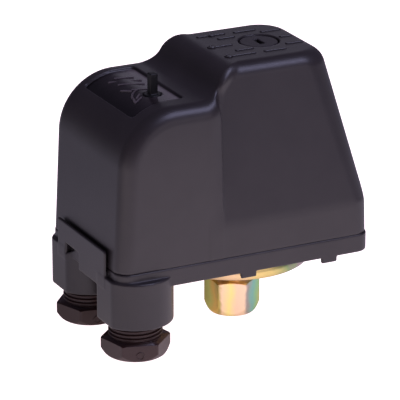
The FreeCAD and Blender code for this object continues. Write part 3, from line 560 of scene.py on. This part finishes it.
def recess_floor():
    """The polished floor of the recess, as a thin skin just above the moulding."""
    (left, near), (right, far) = RECESS
    gap = 0.25
    long, deep = 40, 60
    columns = np.linspace(left + gap, right - gap, long)
    rows = np.linspace(near + gap, far - gap, deep)
    x, y = (grid.ravel() for grid in np.meshgrid(columns, rows, indexing="ij"))
    points = np.stack([x, y, top_height(x, y, RECESS_DEPTH) + 0.04], axis=1)
    faces = []
    for i in range(long - 1):
        for j in range(deep - 1):
            corner = i * deep + j
            middle = points[[corner, corner + deep + 1]].mean(0)
            if np.hypot(middle[0] - KNOB[0], middle[1] - KNOB[1]) > 3.5:
                faces.append((corner, corner + deep, corner + deep + 1, corner + 1))
    return points, faces


points, faces = recess_floor()
mesh_piece("recess_skin", points, faces, RECESS_GLOSS_PAINTED_LIGHT, "hood")


def selector(x, y, z):
    """A square post on a low hub, with the shaft and cam that it turns inside."""
    east, north = KNOB
    floor = SHELF - RECESS_DEPTH
    half = 1.4
    post = box_field(x, y, z, (east - half, north - half, 70),
                     (east + half, north + half, knob_high[2] - 0.05), 0.35)
    hub = rod_field(x, y, z, KNOB, 2.95, 82.4, floor + 0.2, 0.15)
    solid = rounded_min(post, hub, 0.3)
    solid = np.minimum(solid, rod_field(x, y, z, KNOB, 2.45, knob_low[2], 83.0, 0.2))
    cam = box_field(x, y, z, (east, north - 2.5, knob_low[2]), (east + 9.0, north + 2.5, 67.6), 0.3)
    groove = carved(rod_field(x, y, z, KNOB, 6.0, 82.9, 83.8), rod_field(x, y, z, KNOB, 2.6, 80, 90))
    return carved(rounded_min(solid, cam, 0.4), groove)


KNOB_STEP = 0.3
points, faces = skin(selector, knob_low - 1.2, knob_high + 1.2, KNOB_STEP)
mesh_piece("selector_moulded", points, faces, KNOB_PLASTIC, "selector", ["selector_knob"])


def cover_screw(x, y, z):
    """The slotted head in its well, with the sleeve that turns on the stud below it."""
    head = rod_field(x, y, z, (SCREW_X, 0), 6.6, 91.05, ROOF - 0.2, 0.45)
    sleeve = rod_field(x, y, z, (SCREW_X, 0), 4.4, 78.0, 92.0, 0.3)
    solid = rounded_min(head, sleeve, 0.2)
    slot = box_field(x, y, z, (SCREW_X - 0.95, -2.9, ROOF - 2.7), (SCREW_X + 0.95, 2.9, ROOF + 2.0), 0.3)
    solid = carved(solid, slot, 0.25)
    groove = carved(rod_field(x, y, z, (SCREW_X, 0), 8.0, 86.6, 87.5),
                    rod_field(x, y, z, (SCREW_X, 0), 4.0, 80.0, 95.0))
    solid = carved(solid, groove)
    return carved(solid, rod_field(x, y, z, (SCREW_X, 0), 3.05, 70.0, 89.0), 0.3)


SCREW_STEP = 0.22
points, faces = skin(cover_screw, head_low - 0.9, head_high + 0.9, SCREW_STEP)
mesh_piece("cover_screw_turned", points, faces, SCREW_HEAD, "hood_screw", ["cover_screw"])


# Base moulding with its cable towers and flap

GLAND_ALONG = -46.1
GLAND_ASIDE = 18.3
END_PLATE = -57.7
BASE_END = -56.3
BASE_FAR = 39.35
BASE_HALF = 28.3
FLAP_HALF = 19.0
FLAP_STEP = 12.4


def plan_field(x, y, inset, corner):
    """The outline of the base moved inwards, seen from above."""
    return box_field(x, y, 0 * x, (BASE_END + inset, inset - BASE_HALF, -500),
                     (BASE_FAR - inset, BASE_HALF - inset, 500), corner)


def base_solid(x, y, z):
    slab = rounded_max(plan_field(x, y, 0, 5.0), np.maximum(24.8 - z, z - 31.3), 0.45)
    lip = np.maximum(plan_field(x, y, 2.35, 5.0), np.maximum(26.0 - z, z - 33.3))
    solid = np.minimum(slab, lip)
    flap = box_field(x, y, z, (END_PLATE, -FLAP_HALF, 29.9), (-56.8, FLAP_HALF, 37.5), 0.25)
    solid = rounded_min(solid, flap, 0.1)
    solid = np.minimum(solid, box_field(x, y, z, (END_PLATE, -12.6, 23.8), (-53.8, 2.0, 30.4), 0.2))
    for side in (-1, 1):
        near, far = sorted((FLAP_STEP * side, FLAP_HALF * side))
        solid = np.minimum(solid, box_field(x, y, z, (END_PLATE, near, 24), (-56.4, far, 30.4), 0.25))
        tower = rod_field(x, y, z, (GLAND_ALONG, GLAND_ASIDE * side), 13.0, 11.66, 28.4, 0.5)
        tower = rounded_max(tower, END_PLATE - x, 0.4)
        solid = rounded_min(solid, tower, 0.35)
        for start in (-10.9, 20.3):
            near, far = sorted((BASE_HALF * side, 27.0 * side))
            foot = box_field(x, y, z, (start, near, 22.9), (start + 5.8, far, 26), 0.3)
            solid = np.minimum(solid, foot)
    tray = np.maximum(plan_field(x, y, 3.6, 3.75), 27.8 - z)
    solid = carved(solid, tray, 0.3)
    solid = np.minimum(solid, rod_field(x, y, z, (0, 0), 25.2, 26.8, 30.5, 0.3))
    for side in (-1, 1):
        solid = carved(solid, rod_field(x, y, z, (GLAND_ALONG, GLAND_ASIDE * side), 9.35, 0, 25.2), 0.3)
        solid = carved(solid, rod_field(x, y, z, (GLAND_ALONG, GLAND_ASIDE * side), 6.5, 20, 40), 0.2)
    solid = carved(solid, rod_field(x, y, z, (0, 0), 17.0, 20, 28.5))
    solid = carved(solid, rod_field(x, y, z, (0, 0), 4.7, 20, 40))
    notch = np.maximum(np.maximum(y - 12.6, 26.3 + (12.6 - y) * 0.6 - z), z - 30.1)
    notch = np.maximum(notch, -(x + 60))
    notch = np.maximum(notch, x + 55.2)
    solid = carved(solid, np.maximum(notch, 6.0 - y), 0.1)
    return solid


BASE_STEP = 0.5
points, faces = skin(base_solid, base_low - 1.2, base_high + 1.2, BASE_STEP)
mesh_piece("base_moulding", points, faces, HOUSING, "housing", ["base"])


# Hexagon nuts and glands, as rings around an upright axis

def hexagon_radius(angle, flats, turn, corner):
    """How far a hexagon with a corner at turn reaches at each angle, with its corners eased."""
    wedge = (angle - turn) % (math.pi / 3) - math.pi / 6
    reach = flats / 2.0 / np.cos(wedge)
    limit = flats / math.sqrt(3.0) - corner
    return eased_min(reach, limit, corner)


def eased_min(a, b, ease):
    blend = np.clip(0.5 + 0.5 * (b - a) / ease, 0, 1)
    return b * (1 - blend) + a * blend - ease * blend * (1 - blend)


STEPS = 420
angle = np.arange(STEPS) * 2 * math.pi / STEPS


NUT_TURN = 33.3


def swivel_nut(flats=17.0, top=12.5, bore=5.72, pitch=1.337, turn=math.radians(NUT_TURN)):
    """The port nut: rounded chamfers cut across the flats, a counterbored thread inside."""
    shape = hexagon_radius(angle, flats, turn, 0.14)
    profile = [(0.0, 7.35), (0.12, 7.75), (0.5, 8.15), (1.0, 8.5), (1.6, 8.85), (2.3, 9.2),
               (3.1, 9.55), (4.0, 9.9), (5.0, 10.3), (top - 0.8, 10.3), (top - 0.5, 9.8),
               (top - 0.25, 9.3), (top - 0.08, 8.95), (top, 8.7)]
    heights = np.concatenate([np.linspace(0, 0.5, 8), np.linspace(0.6, 5.0, 40),
                              np.linspace(5.4, top - 1.5, 12), np.linspace(top - 1.4, top, 22)])
    turned = np.interp(heights, [row[0] for row in profile], [row[1] for row in profile])
    rings = [(eased_min(shape, reach, 0.18), height) for height, reach in zip(heights, turned)]
    rings += [(np.full(STEPS, 5.2), top), (np.full(STEPS, 4.75), top - 0.2)]
    rings.append((np.full(STEPS, 4.75), 7.5))
    for height in np.linspace(7.4, 0.7, 84):
        wave = (height / pitch - angle / (2 * math.pi)) % 1.0
        rings.append((bore + 0.0 * angle - 0.42 * (1 - np.abs(2 * wave - 1)), height))
    rings += [(np.full(STEPS, bore + 0.1), 0.6), (np.full(STEPS, bore + 0.75), 0.0)]
    return rings


points, faces = rings_piece(swivel_nut())
mesh_piece("swivel_nut_turned", points, faces, YELLOW_NUT, "port_nut", ["swivel_nut"])


def dish(rim=27.2, neck=4.5, top=24.8, seat=23.6):
    """The pressed flange under the base: a flat bowl that rolls up into a plain rim."""
    under = [(neck, 17.2), (8.2, 17.2), (8.9, 17.5), (9.4, 18.0), (10.4, 18.6), (13.5, 19.3),
             (20.0, 19.9), (rim - 3.2, 20.15), (rim - 2.0, 20.4), (rim - 1.2, 20.7), (rim - 0.6, 21.1),
             (rim - 0.2, 21.6), (rim, 22.2), (rim, top - 0.25), (rim - 0.25, top)]
    inner = [(rim - 0.7, top), (rim - 0.9, top - 0.2), (rim - 0.9, seat), (20.0, seat),
             (18.5, seat - 1.2), (7.0, seat - 2.2), (6.4, seat - 2.6), (neck, seat - 2.6)]
    return [(np.full(STEPS, radius), height) for radius, height in under + inner]


points, faces = rings_piece(dish())
mesh_piece("flange_pressed", points, faces, YELLOW, "housing", ["flange_dish"])


def gland(turn, flats=21.0, low=-0.8, high=5.3, top=17.8, crest=9.3, core=8.5, pitch=1.41):
    """A hollow gland screw: chamfered hexagon below, helical thread above."""
    shape = hexagon_radius(angle, flats, turn, 0.16)
    profile = [(low, 9.4), (low + 0.15, 9.95), (low + 0.45, 10.4), (low + 0.9, 10.85),
               (low + 1.5, 11.3), (low + 2.2, 11.75), (low + 3.0, 12.3), (high - 0.5, 12.3),
               (high - 0.2, 12.0), (high, 11.7)]
    heights = np.concatenate([np.linspace(low, low + 0.5, 7), np.linspace(low + 0.6, low + 3, 26),
                              np.linspace(low + 3.2, high - 0.6, 8), np.linspace(high - 0.5, high, 9)])
    turned = np.interp(heights, [row[0] for row in profile], [row[1] for row in profile])
    rings = [(eased_min(shape, reach, 0.2), height) for height, reach in zip(heights, turned)]
    rings.append((np.full(STEPS, core), high))
    for height in np.arange(high + 0.1, top, 0.1):
        wave = ((height - high) / pitch - angle / (2 * math.pi)) % 1.0
        ridge = np.clip(1.6 - 2.9 * np.abs(2 * wave - 1), 0, 1)
        fade = min(1.0, (height - high) / 0.6, (top - height) / 0.8)
        rings.append((core + (crest - core) * smooth_step(ridge, 0, 1) * fade, height))
    rings += [(np.full(STEPS, core - 0.3), top), (np.full(STEPS, 6.5), top)]
    rings += [(np.full(STEPS, 6.2), top - 0.3), (np.full(STEPS, 6.2), low + 0.6)]
    rings.append((np.full(STEPS, 6.8), low))
    return rings


def flat_ring(turn, height=1.7, radius=1.25, width=0.5, lift=0.22, flats=21.0):
    """A small raised ring in the middle of one flat of a gland's hexagon."""
    face = turn - math.pi / 2
    outward = np.array([math.cos(face), math.sin(face), 0.0])
    sideways = np.array([-outward[1], outward[0], 0.0])
    steps = 26
    points = []
    for i in range(steps):
        sweep = 2 * math.pi * i / steps
        for share, rise in ((-0.5, -0.1), (-0.28, lift), (0.28, lift), (0.5, -0.1)):
            reach = radius + share * width
            spot = outward * (flats / 2.0 + rise) + sideways * reach * math.cos(sweep)
            points.append(spot + np.array([0.0, 0.0, height + reach * math.sin(sweep)]))
    faces = [(i * 4 + k, ((i + 1) % steps) * 4 + k, ((i + 1) % steps) * 4 + (k + 1) % 4,
              i * 4 + (k + 1) % 4) for i in range(steps) for k in range(4)]
    return np.array(points), faces


for word, side, lag in (("front", -1, 50.0), ("back", 1, 44.0)):
    gland_turn = math.radians(NUT_TURN - lag)
    points, faces = joined([rings_piece(gland(gland_turn)), flat_ring(gland_turn)])
    points = points + np.array([GLAND_ALONG, GLAND_ASIDE * side, 0.0])
    mesh_piece("gland_screw_" + word, points, faces, GLAND, word + "_gland", ["gland_nut_" + word])


# Camera, light and floor

AZIMUTH = math.radians(26.69)
ELEVATION = math.radians(20.08)
forward = Vector((math.sin(AZIMUTH) * math.cos(ELEVATION), math.cos(AZIMUTH) * math.cos(ELEVATION),
                  -math.sin(ELEVATION)))
right = Vector((math.cos(AZIMUTH), -math.sin(AZIMUTH), 0.0))
up = right.cross(forward)
camera = bpy.data.objects.new("camera", bpy.data.cameras.new("camera"))
camera.data.lens = 294.6
camera.data.sensor_width = 36.0
camera.data.clip_end = 50.0
camera.location = right * -0.0111 + up * 0.03792 - forward * 1.1462
camera.rotation_euler = Matrix((right, up, -forward)).transposed().to_euler()
bpy.context.scene.collection.objects.link(camera)
bpy.context.scene.camera = camera


def soft_light(name, place, target, size, power, colour=(1, 1, 1)):
    light = bpy.data.lights.new(name, "AREA")
    light.shape = "RECTANGLE"
    light.size, light.size_y = size
    light.energy = power
    light.color = colour
    lamp = bpy.data.objects.new(name, light)
    lamp.location = place
    lamp.rotation_euler = (Vector(target) - Vector(place)).to_track_quat("-Z", "Y").to_euler()
    bpy.context.scene.collection.objects.link(lamp)
    return lamp


overhead = soft_light("overhead", (0.0, 0.3, 1.6), (0, 0, 0), (1.6, 1.6), 5.0, (1.0, 0.97, 1.0))
overhead.visible_glossy = False
soft_light("top_front", (0.42, -0.62, 1.15), (0, 0, 0.06), (0.62, 0.55), 7.5, (0.66, 0.65, 1.0))
soft_light("front", (0.5, -1.6, 0.45), (0, 0, 0.04), (1.2, 0.6), 2.8, (0.97, 0.85, 1.0))
soft_light("back", (0.62, 1.06, 0.40), (0, 0, 0.09), (0.5, 0.4), 0.22, (0.86, 0.84, 1.0))

# A dim grey sky lights the object in front of a white backdrop.
world = bpy.data.worlds.new("studio")
world.use_nodes = True
sky = world.node_tree.nodes["Background"]
sky.inputs["Color"].default_value = (0.080, 0.069, 0.104, 1)
backdrop = world.node_tree.nodes.new("ShaderNodeBackground")
backdrop.inputs["Color"].default_value = (1.0, 1.0, 1.0, 1)
choice = world.node_tree.nodes.new("ShaderNodeMixShader")
path = world.node_tree.nodes.new("ShaderNodeLightPath")
world.node_tree.links.new(path.outputs["Is Camera Ray"], choice.inputs[0])
world.node_tree.links.new(sky.outputs[0], choice.inputs[1])
world.node_tree.links.new(backdrop.outputs[0], choice.inputs[2])
world.node_tree.links.new(choice.outputs[0], world.node_tree.nodes["World Output"].inputs[0])
bpy.context.scene.world = world
bpy.context.scene.view_settings.view_transform = "Standard"

# The floor looks evenly pale to the camera. To other rays it glows like a lamp with a pink tint, and
# that glow is painted weaker behind the object and beside it as painted shade.
floor_shader = Shader("floor", 0.9, specular=0.1)
floor_shader.colour(floor_shader.ramp(floor_shader.noise(3.0), [(0.3, grey(0.80)), (0.7, grey(0.82))]))
floor_shader.surface.inputs["Emission Color"].default_value = (1.0, 0.84, 0.88, 1)
seen = floor_shader.nodes.new("ShaderNodeLightPath").outputs["Is Camera Ray"]
# Painted shade: the glow that lights the object is strong in front of it and faint behind it and to its
# right.
depth = floor_shader.ramp(floor_shader.maths("MULTIPLY_ADD", floor_shader.axis("Y"), 2.0),
                          [(0.0, grey(0.24)), (0.15, grey(1.6)), (0.3, grey(1.0)), (0.42, grey(0.8)),
                           (0.58, grey(0.3)), (0.9, grey(0.05))])
width = floor_shader.ramp(floor_shader.maths("MULTIPLY_ADD", floor_shader.axis("X"), 2.0),
                          [(0.6, grey(1.0)), (0.95, grey(0.4))])
depth = floor_shader.maths("MULTIPLY", depth, width)
glow = floor_shader.maths("MAXIMUM", depth, floor_shader.maths("MULTIPLY", seen, 1.4))
floor_shader.links.new(glow, floor_shader.surface.inputs["Emission Strength"])
# The gland screws wind down by 5.85 mm, so the floor lies below their lowest place.
FLOOR_DROP = 0.0065
floor_height = cad_box[0][2] - FLOOR_DROP
floor_mesh = bpy.data.meshes.new("floor")
reach = 5.0
floor_mesh.from_pydata([(-reach, -reach, floor_height), (reach, -reach, floor_height),
                        (reach, reach, floor_height), (-reach, reach, floor_height)], [],
                       [(0, 1, 2, 3)])
floor_mesh.materials.append(floor_shader.material)
floor = bpy.data.objects.new("floor", floor_mesh)
bpy.context.scene.collection.objects.link(floor)
